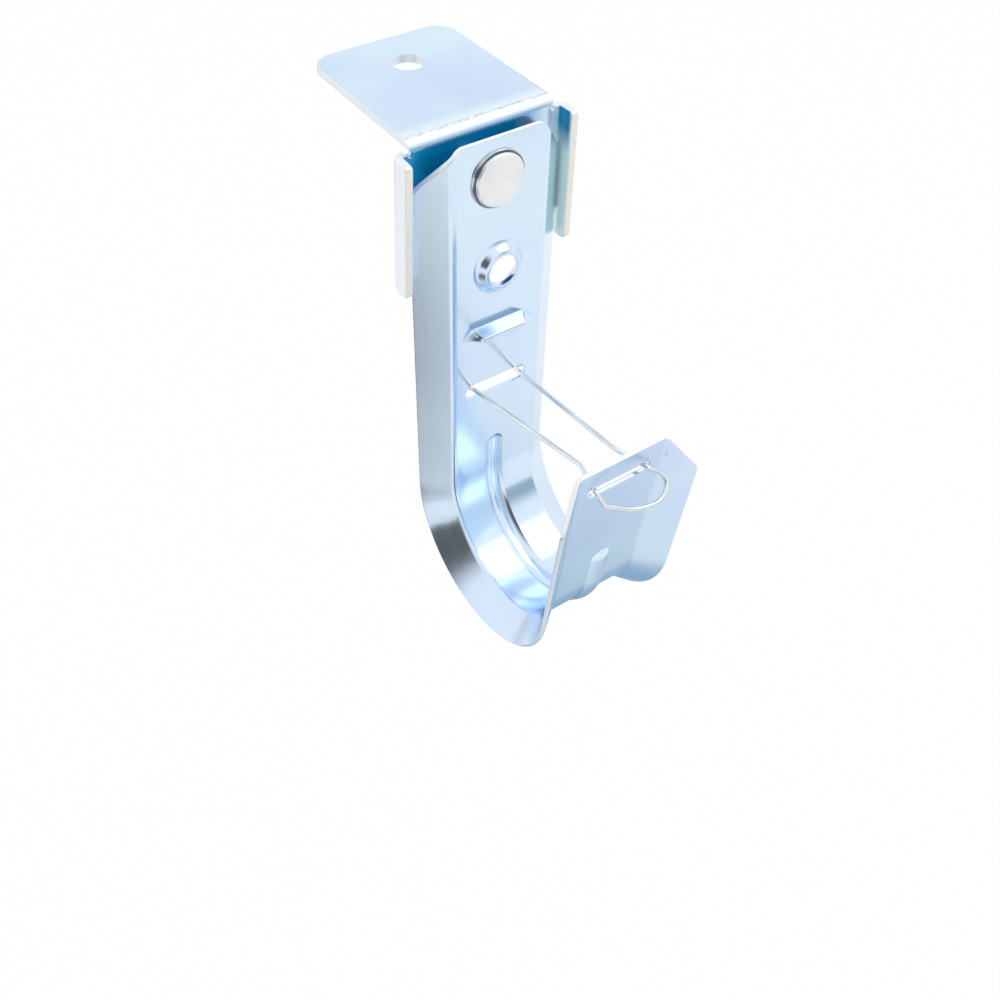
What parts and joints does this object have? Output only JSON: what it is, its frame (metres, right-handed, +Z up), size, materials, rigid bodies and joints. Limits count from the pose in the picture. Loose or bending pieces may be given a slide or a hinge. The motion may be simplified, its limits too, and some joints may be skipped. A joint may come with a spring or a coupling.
{
  "type": "j hook cable support",
  "caption": "Sheet-steel J-shaped hook riveted to a ceiling angle bracket, carrying a bundle of cables in its channel-section bend, with a sprung wire retainer across its mouth.",
  "frame": {"origin": "centre of the ceiling hole, on the top face of the bracket", "axes": "+Z up out of the ceiling hole, -Y towards the mouth of the hook, X across the hook"},
  "size_m": [0.0472, 0.1093, 0.1303],
  "materials": {
    "bracket_zinc": "bright zinc plate with a pale blue passivate, smooth and glossy",
    "hook_zinc": "bright zinc plate with a pale blue passivate, smooth and glossy",
    "rivet_steel": "zinc plate, satin on the struck face",
    "wire_steel": "bright drawn spring wire"
  },
  "bodies": {
    "root": {"angle_bracket": "bracket_zinc", "j_hook": "hook_zinc", "rivet": "rivet_steel", "wire_retainer": "wire_steel"}
  },
  "joints": []
}
